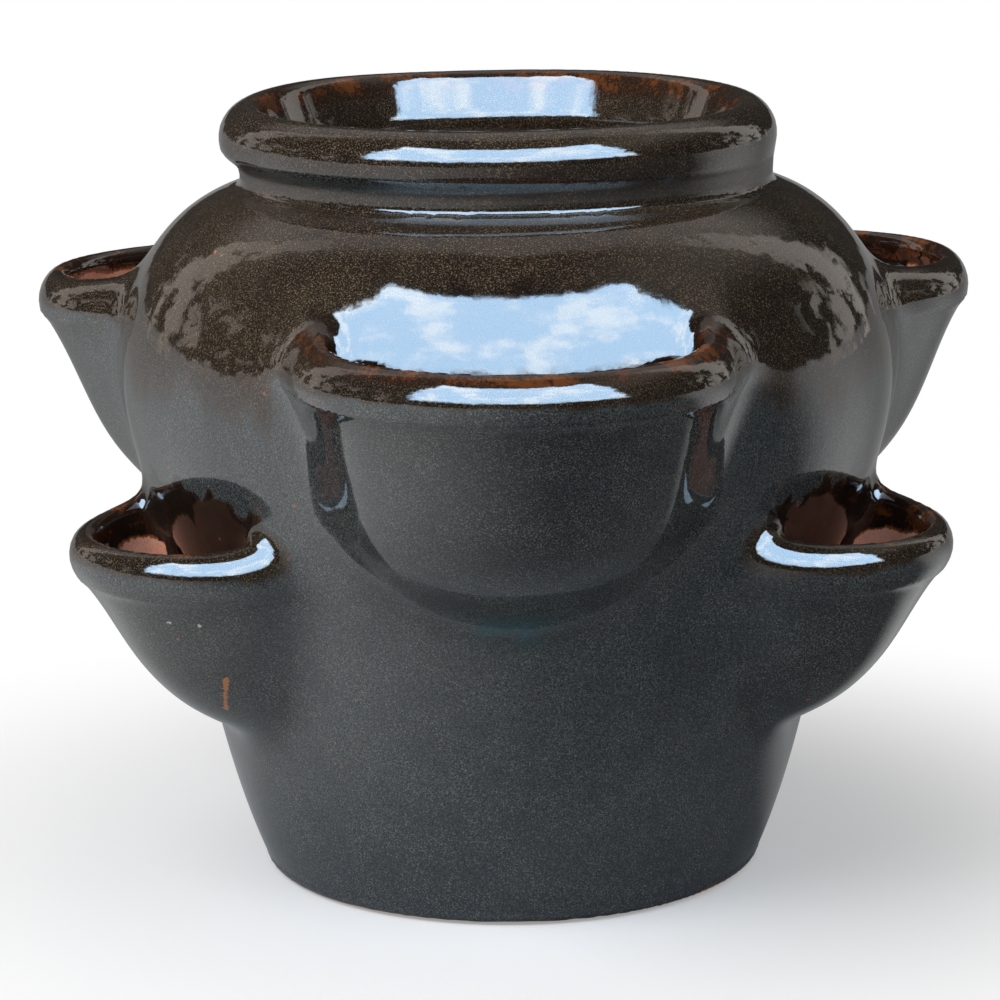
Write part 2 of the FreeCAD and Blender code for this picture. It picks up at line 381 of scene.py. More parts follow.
def field(p):
    """Signed distance to the clay, negative inside, for points in millimetres."""
    q = settle(p)
    r, z = np.hypot(q[:, 0], q[:, 1]), q[:, 2]
    d = SHELL(r, z)
    for name, cup, azimuth, lift in CUPS:
        a = math.radians(azimuth)
        reach = cup["lip_r"] + 45
        centre = cup["axis"] - 10
        level = np.abs(z - cup["lip_z"] + cup["depth"] / 2) < cup["depth"] / 2 + 40
        beside = np.hypot(q[:, 0] - centre * math.sin(a), q[:, 1] + centre * math.cos(a)) < reach
        m = np.nonzero(level & beside)[0]
        if not len(m):
            continue
        form = FORM(r[m], z[m])
        body, side, out = cup_distance(q[m], form, cup, azimuth, lift)
        joined = smin(d[m], body, LUTE)
        hole = smax(hole_distance(z[m], side, cup), form - HOLE_REACH, HOLE_END)
        hole = np.maximum(np.maximum(hole, BOWL_KEPT - body), OFF_AXIS - out)
        d[m] = smax(joined, -hole, HOLE_EDGE)
    return d


def gradient(p, e=0.3):
    g = np.empty_like(p)
    for a in range(3):
        step = np.zeros(3)
        step[a] = e
        g[:, a] = (field(p + step) - field(p - step)) / (2 * e)
    return g


def curvature(p, e=1.5):
    """Sum of the two curvatures, per millimetre, positive on crests."""
    total = -6 * field(p)
    for a in range(3):
        step = np.zeros(3)
        step[a] = e
        total += field(p + step) + field(p - step)
    return total / e ** 2


# ---------------------------------------------------------------- the mesh
MESH_PITCH = 2.9
BLOCK = 4                            # the field is sampled first in blocks of this many cells a side


def part_corners(values):
    """Flips the weakest node of each four that meet only by their corners, so that no edge has four faces."""
    for _ in range(8):
        flipped = 0
        for a in range(3):
            b, c = [k for k in range(3) if k != a]
            view = np.moveaxis(values, (b, c), (0, 1))
            n = view < 0
            odd = (n[:-1, :-1] == n[1:, 1:]) & (n[1:, :-1] == n[:-1, 1:]) & (n[:-1, :-1] != n[1:, :-1])
            at = np.argwhere(odd)
            if not len(at):
                continue
            four = np.stack([at + (0, 0, 0), at + (1, 0, 0), at + (0, 1, 0), at + (1, 1, 0)], 1)
            value = view[tuple(four.reshape(-1, 3).T)].reshape(-1, 4)
            pick = four[np.arange(len(at)), np.abs(value).argmin(1)]
            pick = np.unique(pick, axis=0)
            place = tuple(pick.T)
            view[place] = -0.3 * view[place]
            flipped += len(pick)
        if not flipped:
            return


def sampled(low, high, h):
    """The field on a grid of pitch h, exact near the surface and only signed far from it."""
    block = h * BLOCK
    coarse = np.ceil((high - low) / block).astype(int)
    axes = [low[a] + block * (np.arange(coarse[a]) + 0.5) for a in range(3)]
    mid = np.stack(np.meshgrid(*axes, indexing="ij"), -1).reshape(-1, 3)
    centre = field(mid).reshape(coarse)
    active = np.argwhere(np.abs(centre) < block * 0.95 + 2)
    sign = np.where(centre < 0, -1e3, 1e3).astype(np.float32)
    values = sign.repeat(BLOCK, 0).repeat(BLOCK, 1).repeat(BLOCK, 2)
    sub = np.stack(np.meshgrid(*[np.arange(BLOCK)] * 3, indexing="ij"), -1).reshape(-1, 3)
    for start in range(0, len(active), 4000):
        node = (active[start:start + 4000, None] * BLOCK + sub[None]).reshape(-1, 3)
        values[tuple(node.T)] = field(low + (node + 0.5) * h)
    part_corners(values)
    return values


def crossings(values, a):
    """Each sign change along one axis: the point of the change, and the four cells round it."""
    inside = values < 0
    other = [b for b in range(3) if b != a]
    cut = [slice(1, -1)] * 3
    cut[a] = slice(0, -1)
    first = inside[tuple(cut)]
    cut[a] = slice(1, None)
    second = inside[tuple(cut)]
    at = np.argwhere(first != second)
    at[:, other] += 1
    end = at.copy()
    end[:, a] += 1
    v0, v1 = values[tuple(at.T)].astype(float), values[tuple(end.T)].astype(float)
    cross = at.astype(float)
    cross[:, a] += v0 / (v0 - v1)
    around = []
    for du, dv in ((0, 0), (-1, 0), (-1, -1), (0, -1)):
        cell = at.copy()
        cell[:, other[0]] += du
        cell[:, other[1]] += dv
        around.append(np.ravel_multi_index(tuple(cell.T), values.shape))
    return cross, np.stack(around, -1)


def surface(h):
    """Quads around every sign change of the field on a grid of pitch h, laid on the field's zero."""
    low = np.array(CAD_LOW) / MM - 8
    high = np.array(CAD_HIGH) / MM + 8
    values = sampled(low, high, h)
    cells, sums = [], []
    for a in range(3):
        cross, around = crossings(values, a)
        cells.append(around.ravel())
        sums.append(np.repeat(cross, 4, axis=0))
    index = np.unique(np.concatenate(cells), return_inverse=True)[1]
    points = np.concatenate(sums)
    count = np.bincount(index)
    place = np.stack([np.bincount(index, points[:, a]) / count for a in range(3)], -1)
    quads = index.reshape(-1, 4)
    place = low + (place + 0.5) * h
    for _ in range(4):
        d = field(place)
        g = gradient(place)
        place -= (np.clip(d, -h, h) / np.maximum((g ** 2).sum(1), 0.2))[:, None] * g
    corner = place[quads]
    across = np.cross(corner[:, 2] - corner[:, 0], corner[:, 3] - corner[:, 1])
    turned = (across * gradient(corner.mean(1))).sum(1) < 0
    quads[turned] = quads[turned][:, ::-1]
    return place, quads


# ---------------------------------------------------------------- zones of the glaze, on the surface
GLAZE_CAP = 12.0                     # how far inside the glaze a point lies isn't told beyond this
LINING_EDGE_Z = 214                  # inside the jar the glaze ends about here
CUP_EDGE_DEPTH = 4.5                 # and in a cup about this far under its lip
AMBER_END, AMBER_END_FRONT = (112, 92), (178, 135)   # degrees round a lip: amber gone, and still full


def drips(turn, seed, count, length, width):
    """Runs of glaze of uneven length round a circle, the longest about length millimetres."""
    rng = np.random.default_rng(seed)
    centres = rng.uniform(-np.pi, np.pi, count)
    lengths = rng.uniform(0.2, 1.0, count)
    widths = rng.uniform(0.6, 1.4, count)
    total = np.zeros_like(turn)
    for centre, long, wide in zip(centres, lengths, widths):
        gap = np.abs((turn - centre + np.pi) % (2 * np.pi) - np.pi)
        total = np.maximum(total, long * length * np.exp(-(gap / (wide * width / 150.0)) ** 4))
    return total + 1.5 * np.sin(5 * turn + seed) + 1.0 * np.sin(13 * turn + 2 * seed)


def glaze_edge(p):
    """How far inside the glaze each point lies, in millimetres, up to 12; below zero the clay is bare."""
    r, z, q, form = turned_place(p)
    turn = np.arctan2(q[:, 1], q[:, 0])
    sliver = 1.8 * np.exp(-((turn + 0.71) / 0.13) ** 2)
    foot = np.minimum(z + 0.2 - sliver - 0.25 * np.sin(3 * turn + 1) - 0.2 * np.sin(8 * turn), GLAZE_CAP)
    lining = np.minimum(z - LINING_EDGE_Z + drips(turn, 31, 14, 26.0, 30.0), GLAZE_CAP)
    g = np.where((form < -5) | (r < NECK_INNER_R), lining, foot)
    g = np.where(z < FLOOR * 0.6, foot, g)
    for k, (name, cup, azimuth, lift) in enumerate(CUPS):
        side, out = cup_frame(q, azimuth)
        depth = cup["lip_z"] - z
        centre = cup["axis"] - LEAN * depth
        around, ring = np.arctan2(side, out - centre), np.hypot(side, out - centre)
        inside = (ring < bowl_middle(cup, depth)) & (depth > -8) & (depth < cup["depth"])
        inside &= (form > 2.0) & (out > OFF_AXIS)
        runs = drips(around, 60 + k, 7, 17.0, 6.0 + 4 * (k % 3))
        edge = CUP_EDGE_DEPTH - depth + runs + np.maximum(6 - form, 0)
        g = np.where(inside, np.minimum(edge, GLAZE_CAP), g)
        cut = (form < -1.0) & (form > -9.0) & (out > OFF_AXIS) & (np.abs(hole_distance(z, side, cup)) < 4)
        edge = form + 6.0 + drips(around, 80 + k, 9, 4.0, 30.0)
        g = np.where(cut, np.minimum(edge, GLAZE_CAP), g)
    return g


def amber_zone(p):
    """Where the glaze runs thin on the inner shoulders of the rim and of the lips, from 0 to 1."""
    r, z, q, form = turned_place(p)
    turned = np.degrees(np.arctan2(z - RIM_Z, RIM_R - r))
    zone = ramp(turned, 18, 42) * ramp(-turned, -92, -74) * (z > RIM_Z) * (r < RIM_R + 8)
    for name, cup, azimuth, lift in CUPS:
        side, out = cup_frame(q, azimuth)
        half_width, half_height, lean, inset, drop = cup["lip"]
        lean = math.radians(lean)
        height = z - lift * (out - cup["axis"]) / cup["lip_r"]
        rise = LIP_SWEEP * np.exp(-np.maximum(form, 0) ** 2 / SWEEP_SPREAD)
        height = height - rise - cup["lip_z"] + drop
        over = cup_ring(cup, side, out, z) - cup["lip_r"] + inset
        across = over * math.cos(lean) + height * math.sin(lean)
        along = height * math.cos(lean) - over * math.sin(lean)
        turned = np.degrees(np.arctan2(along, -across))
        near = np.hypot(across / half_width, along / half_height) < 1.5
        end = AMBER_END_FRONT if name == "upper_pocket_front" else AMBER_END
        lip = ramp(turned, 5, 30) * ramp(-turned, -end[0], -end[1]) * near * ramp(form, 2, 6)
        zone = np.maximum(zone, lip)
    return zone


def hollow_shade_zone(p):
    """Inside the cups and just over them, where painted shade darkens the glaze, from 0 to 1."""
    r, z, q, form = turned_place(p)
    zone = np.zeros(len(p))
    for name, cup, azimuth, lift in CUPS:
        side, out = cup_frame(q, azimuth)
        depth = cup["lip_z"] - z
        ragged = 2.6 * np.sin(side / 4.3 + 0.7) + 1.8 * np.sin(side / 1.9) + 1.0 * np.sin(side / 0.9 + 2.0)
        over = ramp(depth - 0.002 * side ** 2 + ragged, -29, -26)
        clear = bowl_middle(cup, depth) - 2 - cup_ring(cup, side, out, z)
        near = ramp(clear, -3, 2) * over * (out > 30) * (depth < cup["depth"])
        zone = np.maximum(zone, near * ramp(form, -14, -9))
    return zone


def toe_zone(p, crest):
    """Low on the outside of each cup, where the thick glaze turns teal, from 0 to 1."""
    zone = np.zeros(len(p))
    for name, cup, azimuth, lift in CUPS:
        side, out = cup_frame(p, azimuth)
        low = cup["lip_z"] - 0.93 * cup["depth"]
        spot = np.sqrt((side / 1.7) ** 2 + (p[:, 2] - low) ** 2)
        zone = np.maximum(zone, np.where(out > 60, ramp(-spot, -16, -3), 0) * (crest < 0.03))
    return zone


def within(p):
    """1 inside the jar, behind its wall, and 0 elsewhere."""
    return ramp(-turned_place(p)[-1], 5, 9)


# ---------------------------------------------------------------- the pieces
SUNK = 2.2                           # how far in the joints' hidden faces start
CUPS_TOP = 270                       # faces off the form belong to a cup below this, to the neck above
FIRST_CUP = 3                        # number of the first cup among the nodes
NODES = ["jar_wall", "floor_slab", "neck_rim"] + [name for name, cup, azimuth, lift in CUPS]


def owners(middle):
    """The number of the piece each face belongs to, from the place of its middle."""
    r, z, q, form = turned_place(middle)
    owner = np.zeros(len(middle), int)
    owner[(r < FOOT_INNER_R - 1.3) & (z < FLOOR + 6)] = NODES.index("floor_slab")
    owner[(z > NECK_Z) | ((form > 0.8) & (z > CUPS_TOP))] = NODES.index("neck_rim")
    off = np.nonzero((form > 2.5) & (z < CUPS_TOP))[0]
    gaps = [cup_distance(q[off], form[off], cup, azimuth, lift)[0] for name, cup, azimuth, lift in CUPS]
    owner[off] = FIRST_CUP + np.argmin(gaps, axis=0)
    return owner


def even_out(owner, quads):
    """Moves odd faces over, so that the joints run as single loops that never touch at a corner."""
    sides = np.sort(np.stack([quads, np.roll(quads, -1, axis=1)], -1).reshape(-1, 2), axis=1)
    edge, index = np.unique(sides, axis=0, return_inverse=True)
    order = np.argsort(index.ravel(), kind="stable")
    pair = (order // 4).reshape(-1, 2)
    other = np.empty(len(order), int)
    other[order[0::2]], other[order[1::2]] = pair[:, 1], pair[:, 0]
    other = other.reshape(-1, 4)
    for _ in range(30):
        around = owner[other]
        odd = np.nonzero((around == owner[:, None]).sum(1) < 2)[0]
        for face in odd:
            owner[face] = np.bincount(owner[other[face]]).argmax()
        joint = owner[pair[:, 0]] != owner[pair[:, 1]]
        ends, both = edge[joint], owner[pair[joint]]
        key, count = np.unique((ends[:, :, None] * 16 + both[:, None, :]).ravel(), return_counts=True)
        crossing = np.unique(key[count > 2] // 16)
        if not len(odd) and not len(crossing):
            break
        for corner in crossing:
            faces = np.nonzero((quads == corner).any(1))[0]
            owner[faces] = np.bincount(owner[faces]).argmax()
    return owner


def open_edges(faces):
    """The edges that have a face on one side only, each in the direction of that face."""
    known = set(map(tuple, np.stack([faces, np.roll(faces, -1, axis=1)], -1).reshape(-1, 2).tolist()))
    return [(a, b) for a, b in sorted(known) if (b, a) not in known]


def cap(number, owner, quads, place, sunk):
    """Faces that close one piece inside the clay: straight in from its edge, then across."""
    rim = open_edges(quads[owner == number])
    strip = [[b, a, sunk[a], sunk[b]] for a, b in rim]
    rim = [(sunk[a], sunk[b]) for a, b in rim]
    mesh = bmesh.new()
    corner = {v: mesh.verts.new(place[v]) for v in sorted({v for edge in rim for v in edge})}
    edges = [mesh.edges.new((corner[a], corner[b])) for a, b in rim]
    if NODES[number] == "floor_slab":
        bmesh.ops.bridge_loops(mesh, edges=edges)
    else:
        a = math.radians(CUPS[number - FIRST_CUP][2])
        facing = (0, 0, 1) if NODES[number] == "neck_rim" else (math.sin(a), -math.cos(a), 0)
        bmesh.ops.triangle_fill(mesh, use_beauty=True, use_dissolve=False, edges=edges, normal=facing)
    bmesh.ops.recalc_face_normals(mesh, faces=mesh.faces[:])
    name = {vert: v for v, vert in corner.items()}
    faces = [[name[vert] for vert in face.verts] for face in mesh.faces]
    run = {(f[i - 1], f[i]) for f in faces for i in range(len(f))}
    mesh.free()
    return strip + ([f[::-1] for f in faces] if rim[0] in run else faces)


def make_mesh(name, place, faces, normals, values):
    mesh = bpy.data.meshes.new(name)
    mesh.from_pydata((place * MM).tolist(), [], faces)
    mesh.polygons.foreach_set("use_smooth", np.ones(len(mesh.polygons), bool))
    for key, value in values.items():
        attribute = mesh.attributes.new(key, "FLOAT", "POINT")
        attribute.data.foreach_set("value", value.astype(np.float32))
    mesh.normals_split_custom_set_from_vertices(normals.tolist())
    piece = bpy.data.objects.new(name, mesh)
    bpy.context.scene.collection.objects.link(piece)
    return piece


def make_pieces():
    """Meshes the jar once, and parts it into one closed mesh for each node."""
    place, quads = surface(MESH_PITCH)
    normals = gradient(place)
    normals /= np.linalg.norm(normals, axis=1)[:, None]
    crest = curvature(place)
    values = dict(glaze=glaze_edge(place), crest=crest, toe=toe_zone(place, crest),
                  amber=amber_zone(place), hollow=hollow_shade_zone(place), within=within(place))
    owner = even_out(owners(place[quads].mean(1)), quads)
    numbers = range(1, len(NODES))
    edges = [edge for number in numbers for edge in open_edges(quads[owner == number])]
    joint = sorted({v for edge in edges for v in edge})
    sunk = {v: len(place) + k for k, v in enumerate(joint)}
    place = np.concatenate([place, place[joint] - SUNK * normals[joint]])
    normals = np.concatenate([normals, normals[joint]])
    values = {key: np.concatenate([value, value[joint]]) for key, value in values.items()}
    caps = [cap(number, owner, quads, place, sunk) for number in numbers]
    pieces = {}
    for number, node in enumerate(NODES):
        faces = quads[owner == number].tolist()
        faces += caps[number - 1] if number else [f[::-1] for closing in caps for f in closing]
        used = np.unique([v for face in faces for v in face])
        place_of = np.zeros(len(place), int)
        place_of[used] = np.arange(len(used))
        faces = [[int(place_of[v]) for v in face] for face in faces]
        held = {key: value[used] for key, value in values.items()}
        pieces[node] = make_mesh(f"glazed_{node}", place[used], faces, normals[used], held)
    return pieces


# ---------------------------------------------------------------- materials
class Nodes:
    """Short hand for building a node tree."""

    def __init__(self, tree):
        self.tree = tree
        tree.nodes.clear()

    def add(self, kind, inputs=(), **settings):
        node = self.tree.nodes.new(kind)
        for key, value in settings.items():
            setattr(node, key, value)
        for key, value in dict(inputs).items():
            if hasattr(value, "node"):
                self.tree.links.new(value, node.inputs[key])
            else:
                node.inputs[key].default_value = value
        return node

    def math(self, operation, a, b=0.0, clamp=False):
        node = self.add("ShaderNodeMath", {0: a, 1: b, 2: 0.0}, operation=operation, use_clamp=clamp)
        return node.outputs[0]

    def plus(self, total, *others):
        for other in others:
            total = self.math("ADD", total, other)
        return total

    def times(self, product, *others):
        for other in others:
            product = self.math("MULTIPLY", product, other)
        return product

    def vector(self, operation, a, b=(0.0, 0.0, 0.0), output=0):
        return self.add("ShaderNodeVectorMath", {0: a, 1: b}, operation=operation).outputs[output]

    def noise(self, where, scale, detail=2.0, rough=0.5, distortion=0.0):
        inputs = {"Vector": where, "Scale": scale, "Detail": detail, "Roughness": rough}
        inputs["Distortion"] = distortion
        return self.add("ShaderNodeTexNoise", inputs).outputs["Fac"]

    def cells(self, where, scale):
        """Distance to the nearest of many random points."""
        inputs = {"Vector": where, "Scale": scale, "Randomness": 1.0}
        return self.add("ShaderNodeTexVoronoi", inputs).outputs["Distance"]

    def step(self, value, low, high, start=0.0, end=1.0):
        inputs = {"Value": value, "From Min": low, "From Max": high, "To Min": start, "To Max": end}
        return self.add("ShaderNodeMapRange", inputs, interpolation_type="SMOOTHSTEP").outputs[0]

    def angle_step(self, angle, low, high):
        """A step between two angles in degrees."""
        return self.step(angle, math.radians(low), math.radians(high))

    def mix(self, fac, a, b):
        node = self.add("ShaderNodeMix", data_type="RGBA")
        for key, value in ((0, fac), (6, a), (7, b)):
            if hasattr(value, "node"):
                self.tree.links.new(value, node.inputs[key])
            else:
                node.inputs[key].default_value = value if key == 0 else (*value, 1.0)
        return node.outputs[2]

    def attribute(self, name):
        return self.add("ShaderNodeAttribute", attribute_name=name).outputs["Fac"]


class GlazeNodes(Nodes):
    """The node tree of the glaze, with its textures and the zones stored on the mesh."""

    def __init__(self, tree):
        super().__init__(tree)
        coords = self.add("ShaderNodeTexCoord")
        where = self.where = coords.outputs["Object"]
        self.up = self.add("ShaderNodeSeparateXYZ", {0: coords.outputs["Normal"]}).outputs[2]
        self.height = self.add("ShaderNodeSeparateXYZ", {0: where}).outputs[2]
        self.glaze, self.crest, self.toe = (self.attribute(k) for k in ("glaze", "crest", "toe"))
        self.amber, self.hollow, self.within = (self.attribute(k) for k in ("amber", "hollow", "within"))
        self.runs = self.noise(self.vector("MULTIPLY", where, (1.0, 1.0, 0.25)), 75.0, 3.0, 0.6)
        self.broad = self.noise(where, 14.0, 3.0)
        self.patch = self.noise(where, 55.0, 4.0, 0.6)
        self.fine = self.noise(where, 420.0, 3.0, 0.6)
        self.grain = self.noise(where, 1500.0, 2.0, 0.7)
        self.dust = self.noise(self.vector("ADD", where, (3.7, 1.9, 8.3)), 1700.0, 1.0, 0.6)
        self.speck, self.rare = self.cells(where, 620.0), self.cells(where, 70.0)


BROWN, PALE_BROWN, WARM_BROWN = (0.017, 0.012, 0.0095), (0.034, 0.025, 0.018), (0.040, 0.021, 0.012)
DARK_GRAIN, GOLD_GRAIN = (0.004, 0.003, 0.003), (0.205, 0.155, 0.095)
# the slate tones paint the pale floor's reflection on the glaze
SLATE, PALE_SLATE, BLUE_SLATE = (0.043, 0.053, 0.060), (0.068, 0.079, 0.086), (0.040, 0.051, 0.072)
# dark slate: dust dips in the grain, and painted shade on undersides
DARK_SLATE_DUST_AND_SHADE, SLATE_FLECK = (0.006, 0.009, 0.011), (0.240, 0.255, 0.235)
# the first colour here is painted shade inside the cups
HOLLOW_SHADE, TEAL = (0.010, 0.006, 0.005), (0.004, 0.070, 0.085)
PALE_SPECK, RUST_SPOT = (0.36, 0.33, 0.25), (0.42, 0.13, 0.03)
SPLIT_CLAY, CHIP = (0.62, 0.20, 0.055), (0.70, 0.68, 0.62)
THIN_DARK, THIN_AMBER = (0.030, 0.011, 0.006), (0.16, 0.053, 0.016)
CREST_AMBER, SHORE_AMBER = (0.23, 0.075, 0.020), (0.36, 0.115, 0.025)
CLAY, PALE_CLAY, CLAY_GRAIN = (0.66, 0.25, 0.15), (0.82, 0.40, 0.27), (0.34, 0.12, 0.07)
# painted shade on the bare clay inside the jar
CLAY_SHADE_WITHIN = (0.055, 0.022, 0.015)
GLOSS, CLAY_MATT, GLAZE_IOR = 0.045, 0.85, 1.7

# three flaws on the lower left cup, in metres: a split in the glaze down to the clay, and two pale chips
FLAWS = [((-0.1184, -0.1105, 0.1081), (-0.1197, -0.0968, 0.0914), 0.0011, SPLIT_CLAY),
         ((-0.1406, -0.1194, 0.1348), (-0.1400, -0.1194, 0.1345), 0.0006, CHIP),
         ((-0.1274, -0.1228, 0.1338), (-0.1272, -0.1228, 0.1334), 0.0007, CHIP)]


def stroke_distance(n, start, end):
    """Distance to a short stroke, with an uneven edge."""
    run = Vector(end) - Vector(start)
    offset = n.vector("SUBTRACT", n.where, start)
    share = n.vector("DOT_PRODUCT", offset, tuple(run / run.length_squared), "Value")
    share = n.math("ADD", share, 0.0, clamp=True)
    along = n.add("ShaderNodeVectorMath", {0: tuple(run), "Scale": share}, operation="SCALE").outputs[0]
    gap = n.vector("DISTANCE", offset, along, "Value")
    return n.plus(gap, n.step(n.fine, 0.3, 0.7, -0.0005, 0.0006))


def brown_glaze(n):
    """Dark brown, warmer and paler in patches, with golden grain."""
    colour = n.mix(n.step(n.broad, 0.35, 0.68), BROWN, PALE_BROWN)
    colour = n.mix(n.times(n.step(n.patch, 0.5, 0.75), 0.5), colour, WARM_BROWN)
    colour = n.mix(n.times(n.step(n.dust, 0.50, 0.36), 0.8), colour, DARK_GRAIN)
    gold = n.times(n.step(n.grain, 0.50, 0.72), n.step(n.patch, 0.25, 0.60, 0.45, 1.0))
    return n.mix(gold, colour, GOLD_GRAIN)


def slate_reflection(n):
    """Slate, a painted reflection of the pale floor, with pale and dark grain, bluer at the foot, and darker
    on undersides by painted shade.
    """
    colour = n.mix(n.step(n.broad, 0.35, 0.68), SLATE, PALE_SLATE)
    colour = n.mix(n.step(n.height, 0.07, 0.0, 0.0, 0.7), colour, BLUE_SLATE)
    colour = n.mix(n.times(n.step(n.dust, 0.56, 0.38), 0.92), colour, DARK_SLATE_DUST_AND_SHADE)
    # painted shade on undersides
    colour = n.mix(n.step(n.up, -0.27, -0.55, 0.0, 0.95), colour, DARK_SLATE_DUST_AND_SHADE)
    flecks = n.step(n.plus(n.grain, n.step(n.up, -0.20, -0.50, 0.0, 0.015)), 0.47, 0.74)
    return n.mix(n.times(flecks, n.step(n.patch, 0.3, 0.65, 0.55, 1.0)), colour, SLATE_FLECK)


def floor_reflection_share(n):
    """1 where the pale floor's reflection is painted in slate, on undersides and the lower wall; 0 where the
    glaze keeps its own brown.
    """
    facing_up = n.plus(n.up, n.step(n.runs, 0.3, 0.7, -0.07, 0.07), n.step(n.height, 0.285, 0.298, 0.0, 0.5),
                  n.times(n.hollow, 0.9), n.step(n.grain, 0.35, 0.65, -0.07, 0.07),
                  n.step(n.broad, 0.35, 0.65, -0.04, 0.04))
    return n.step(facing_up, 0.02, 0.12, 1.0, 0.0)


def marked(n, colour):
    """Adds teal at the cups' toes, pale specks, rust spots and the three flaws."""
    teal = n.times(n.step(n.toe, 0.0, 1.0), n.step(n.patch, 0.35, 0.6, 0.0, 0.8))
    colour = n.mix(teal, colour, TEAL)
    pale = n.times(n.step(n.speck, 0.16, 0.05), n.step(n.fine, 0.52, 0.68))
    colour = n.mix(n.times(pale, 0.5), colour, PALE_SPECK)
    rust = n.times(n.step(n.rare, 0.075, 0.03), n.step(n.broad, 0.60, 0.64))
    colour = n.mix(rust, colour, RUST_SPOT)
    for start, end, width, tone in FLAWS:
        colour = n.mix(n.step(stroke_distance(n, start, end), width * 1.3, width * 0.8), colour, tone)
    return colour


def thinned(n, colour, shore):
    """Turns the glaze to amber where it is thin: on inner shoulders, on crests and at its own edge."""
    warm = n.times(n.amber, n.step(n.patch, 0.25, 0.6, 0.4, 1.0))
    colour = n.mix(n.times(warm, 0.75), colour, THIN_DARK)
    mottle = n.plus(n.step(n.patch, 0.35, 0.72, -0.35, 0.30), n.step(n.fine, 0.3, 0.7, -0.16, 0.16),
                    n.step(n.grain, 0.35, 0.65, -0.10, 0.10))
    colour = n.mix(n.step(n.plus(n.amber, mottle), 0.80, 1.25, 0.0, 0.9), colour, THIN_AMBER)
    thin = n.plus(n.crest, n.step(n.patch, 0.35, 0.75, -0.12, 0.10), n.step(n.fine, 0.3, 0.7, -0.06, 0.04))
    thin = n.times(n.step(thin, 0.17, 0.34, 0.0, 0.9), n.step(n.up, -0.25, 0.05))
    colour = n.mix(thin, colour, CREST_AMBER)
    return n.mix(n.step(shore, 1.6, 0.3), colour, SHORE_AMBER)


def bare_clay(n):
    """Unglazed clay, with painted shade inside the jar."""
    clay = n.mix(n.step(n.patch, 0.3, 0.7), CLAY, PALE_CLAY)
    clay = n.mix(n.times(n.step(n.grain, 0.45, 0.7), 0.4), clay, CLAY_GRAIN)
    # painted shade inside the jar
    return n.mix(n.times(n.within, 0.85), clay, CLAY_SHADE_WITHIN)


def roughness(n, bare):
    """Glossy glaze, matt clay, and a duller band under the rim."""
    rough = n.plus(n.step(bare, 0.0, 1.0, GLOSS, CLAY_MATT), n.step(n.fine, 0.4, 0.8, 0.0, 0.03))
    band = n.times(n.step(n.height, 0.3005, 0.3025), n.step(n.height, 0.312, 0.308))
    return n.plus(rough, n.times(band, 0.28))


def relief(n, bare, shore):
    """Waves and dimples of the glaze, its runs, the step at its edge, and the grain of the clay."""
    wave = n.times(n.noise(n.where, 60.0, 2.0), 3.0)
    peel = n.times(n.noise(n.where, 330.0, 2.0), 0.55)
    height = n.plus(wave, peel, n.times(n.runs, 2.5), n.times(n.step(shore, -0.3, 2.2), 14.0),
                    n.times(n.grain, bare, 6.0))
    return n.add("ShaderNodeBump", {"Height": height, "Strength": 1.0, "Distance": 0.00003}).outputs[0]


def glaze_material():
    material = bpy.data.materials.new("dark_glaze_on_clay")
    material.use_nodes = True
    n = GlazeNodes(material.node_tree)
    shore = n.plus(n.glaze, n.step(n.fine, 0.3, 0.7, -0.5, 0.5))
    bare = n.step(shore, 0.15, -0.15)
    # painted reflection: slate where the surface faces down towards the floor, brown glaze elsewhere
    colour = n.mix(floor_reflection_share(n), brown_glaze(n), slate_reflection(n))
    # painted shade inside the cups and just over them
    colour = n.mix(n.times(n.hollow, 0.75), colour, HOLLOW_SHADE)
    colour = thinned(n, marked(n, colour), shore)
    colour = n.mix(bare, colour, bare_clay(n))
    inputs = {"Base Color": colour, "Roughness": roughness(n, bare), "IOR": GLAZE_IOR}
    inputs["Normal"] = relief(n, bare, shore)
    shader = n.add("ShaderNodeBsdfPrincipled", inputs)
    n.add("ShaderNodeOutputMaterial", {0: shader.outputs[0]})
    return material


pieces = make_pieces()
material = glaze_material()
for node, piece in pieces.items():
    piece.data.materials.append(material)
    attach(piece, "root")
    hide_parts(node)


# ---------------------------------------------------------------- floor, world and lamps
WHITE, BLACK = (1.0, 1.0, 1.0), (0.0, 0.0, 0.0)
SOFT_SKY = 0.30
WINDOW_COLOUR, CLOUD_COLOUR, TREE_COLOUR = (6.3, 9.3, 12.8), (10.0, 11.8, 13.6), (2.3, 2.1, 1.3)
REAR_COLOUR, VEIL_COLOUR, SKYLINE_COLOUR = (0.45, 0.43, 0.42), (0.50, 0.46, 0.40), (0.035, 0.034, 0.032)
LEFT_PATCHES, RIGHT_PATCHES = (0.86, 0.77, 0.69), (0.95, 0.88, 0.82)
FLOOR_TONE, FLOOR_SEEN = (0.36, 0.38, 0.40), (0.93, 0.93, 0.94)
FLOOR_HALF, FLOOR_DROP = 14.0, 0.0008
# degrees from the front, or above the horizon, from dark to full or back
WINDOW_SIDES, WINDOW_FOOT, WINDOW_HEAD = (60, 56), (14, 18), (60, 57)
TREE_TOPS = (21, 14)


def surroundings(n, x, y):
    """Brightness of the pale surroundings in the gloss: most at the left and behind, least at the right."""
    reach = n.math("MAXIMUM", n.math("SQRT", n.plus(n.times(x, x), n.times(y, y))), 0.001)
    across, behind = n.math("DIVIDE", x, reach), n.math("DIVIDE", y, reach)
    left = n.times(n.step(across, -0.85, 0.35, 0.90, 0.09), n.step(behind, 0.1, 0.9, 1.0, 0.38))
    rear = n.math("SUBTRACT", n.step(behind, -0.20, 0.20, 0.0, 0.80), n.step(behind, 0.30, 0.75, 0.0, 0.50))
    return n.math("MAXIMUM", left, rear)


def seen_directly(n, path):
    return n.math("MAXIMUM", path["Is Camera Ray"], path["Is Transmission Ray"])


